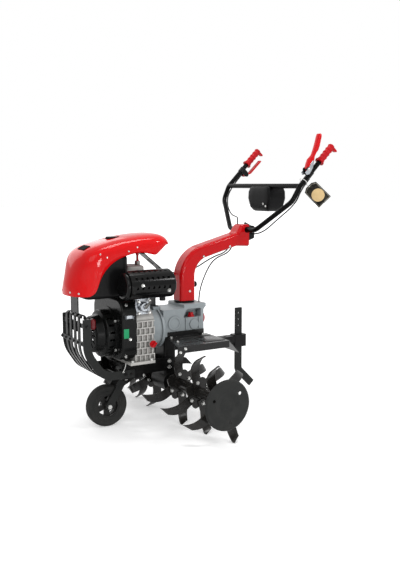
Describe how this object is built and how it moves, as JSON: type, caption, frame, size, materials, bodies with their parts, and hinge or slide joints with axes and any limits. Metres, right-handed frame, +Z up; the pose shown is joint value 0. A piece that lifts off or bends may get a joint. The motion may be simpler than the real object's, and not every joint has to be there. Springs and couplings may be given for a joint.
{
  "type": "diesel tiller",
  "caption": "Walk-behind diesel tiller: air-cooled engine under a red hood, gearbox and leg driving a wide tine rotor, small front wheel, swivelling handlebar column and depth stake.",
  "frame": {"origin": "on the ground under the middle of the machine's bounding box", "axes": "+X rearward towards the handles, +Y to the machine's right, +Z up"},
  "size_m": [1.1911, 0.988, 1.2543],
  "materials": {
    "red_hood": "glossy red",
    "red_cover": "glossy red",
    "red_cap": "red",
    "red_grip": "red soft",
    "red_lever": "glossy red",
    "black_frame": "semi-gloss black",
    "black_tine": "gloss black",
    "black_plastic": "black",
    "black_muffler": "heat-proof black",
    "zinc_strip": "zinc plated",
    "steel": "machined",
    "cast_silver": "die cast",
    "cast_grey": "painted grey casting",
    "iron_black": "black casting",
    "tyre": "black",
    "rim_paint": "black",
    "cable": "black"
  },
  "bodies": {
    "machine": {"engine_crankcase": "cast_silver", "cylinder_barrel": "cast_silver", "cylinder_head": "cast_silver", "rocker_cover": "cast_silver", "fan_shroud": "black_frame", "recoil_housing": "black_frame", "muffler": "black_muffler", "muffler_shield": "black_muffler", "air_cleaner": "black_plastic", "fuel_tank": "black_plastic", "injection_pump": "zinc_strip", "frame_rails": "black_frame", "front_cross_member": "black_frame", "rear_cross_member": "black_frame", "bumper_side_plates": "black_frame", "bumper_bars": "black_frame", "bumper_strips": "zinc_strip", "hood": "red_hood", "hood_brackets": "black_frame", "gearbox_housing": "cast_grey", "drive_cap": "red_cap", "drive_leg": "iron_black", "axle_bearings": "steel", "fender_left": "black_frame", "fender_right": "black_frame", "hitch_drawbar": "black_frame", "column_socket": "black_plastic", "pivot_bolt": "steel"},
    "crank": {"crankshaft": "steel", "flywheel": "iron_black"},
    "starter": {"starter_handle": "red_cap"},
    "decompressor": {"decompression_lever": "red_lever"},
    "fuel_lid": {"fuel_cap": "black_plastic"},
    "engine_oil_plug": {"engine_oil_cap": "red_cap"},
    "gearbox_oil_plug": {"gearbox_oil_cap": "red_cap"},
    "rotor": {"axle_shaft": "steel", "tine_hubs": "black_tine", "tines": "black_tine", "side_discs": "black_tine"},
    "fork": {"wheel_fork": "black_frame", "wheel_bolt": "steel"},
    "wheel": {"wheel_rim": "rim_paint", "wheel_tyre": "tyre"},
    "stake": {"depth_stake": "black_frame"},
    "column": {"column_tube": "black_frame", "column_cover_left": "red_cover", "column_cover_right": "red_cover", "handlebar_head": "black_frame", "lower_cables": "cable"},
    "knob": {"lock_knob": "black_plastic"},
    "clamp": {"clamp_lever": "black_plastic"},
    "handlebar": {"handlebar_left": "black_frame", "handlebar_right": "black_frame", "handlebar_crossbar": "black_frame", "grips": "red_grip", "lever_brackets": "zinc_strip", "battery_box": "black_plastic", "upper_cables": "cable"},
    "clutch": {"clutch_lever": "red_lever"},
    "reverse": {"reverse_lever": "red_lever"}
  },
  "joints": [
    {"name": "front_fork_swing", "type": "hinge", "parent": "machine", "child": "fork", "pos_m": [-0.338, 0, 0.208], "axis": [0, 1, 0], "range_deg": [0, 22]},
    {"name": "front_wheel_spin", "type": "hinge", "parent": "fork", "child": "wheel", "pos_m": [-0.412, 0, 0.09], "axis": [0, 1, 0], "continuous": true},
    {"name": "rotor_spin", "type": "hinge", "parent": "machine", "child": "rotor", "pos_m": [-0.112, 0, 0.166], "axis": [0, 1, 0], "continuous": true},
    {"name": "crank_spin", "type": "hinge", "parent": "machine", "child": "crank", "pos_m": [-0.3, 0, 0.407], "axis": [1, 0, 0], "continuous": true},
    {"name": "starter_pull", "type": "slide", "parent": "machine", "child": "starter", "axis": [0, -1, 0], "range_m": [0, 0.3], "stiffness_N_per_m": 60, "springref_m": -0.15},
    {"name": "decompression_flip", "type": "hinge", "parent": "machine", "child": "decompressor", "pos_m": [-0.256, 0, 0.697], "axis": [0, -1, 0], "range_deg": [0, 70]},
    {"name": "fuel_cap_turn", "type": "hinge", "parent": "machine", "child": "fuel_lid", "pos_m": [-0.373, 0, 0.8], "axis": [0, 0, 1], "range_deg": [0, 90]},
    {"name": "engine_oil_cap_turn", "type": "hinge", "parent": "machine", "child": "engine_oil_plug", "pos_m": [-0.258, -0.14, 0.366], "axis": [0, -1, 0], "range_deg": [0, 360]},
    {"name": "gearbox_oil_cap_turn", "type": "hinge", "parent": "machine", "child": "gearbox_oil_plug", "pos_m": [-0.02, -0.052, 0.448], "axis": [0, 0, 1], "range_deg": [0, 360]},
    {"name": "stake_slide", "type": "slide", "parent": "machine", "child": "stake", "axis": [0, 0, 1], "range_m": [-0.06, 0.08]},
    {"name": "column_swivel", "type": "hinge", "parent": "machine", "child": "column", "pos_m": [-0.024, 0, 0.52], "axis": [0, 0, 1], "range_deg": [-30, 30], "deforming": ["lower_cables"]},
    {"name": "lock_knob_pull", "type": "slide", "parent": "column", "child": "knob", "axis": [1, 0, 0], "range_m": [0, 0.01], "stiffness_N_per_m": 800, "springref_m": -0.01},
    {"name": "clamp_lever_turn", "type": "hinge", "parent": "column", "child": "clamp", "pos_m": [0.345, -0.02, 0.824], "axis": [1, 0, 0], "range_deg": [0, 75]},
    {"name": "handlebar_height", "type": "hinge", "parent": "column", "child": "handlebar", "pos_m": [0.29, 0, 0.822], "axis": [0, 1, 0], "range_deg": [-8, 30], "deforming": ["upper_cables"]},
    {"name": "clutch_lever_squeeze", "type": "hinge", "parent": "handlebar", "child": "clutch", "pos_m": [0.43606, -0.28, 1.09425], "axis": [0, 1, 0], "range_deg": [0, 16], "stiffness_Nm_per_rad": 8, "springref_deg": -11.46},
    {"name": "reverse_lever_squeeze", "type": "hinge", "parent": "handlebar", "child": "reverse", "pos_m": [0.50041, 0.28, 1.07798], "axis": [0, -1, 0], "range_deg": [0, 9], "stiffness_Nm_per_rad": 8, "springref_deg": -11.46}
  ]
}
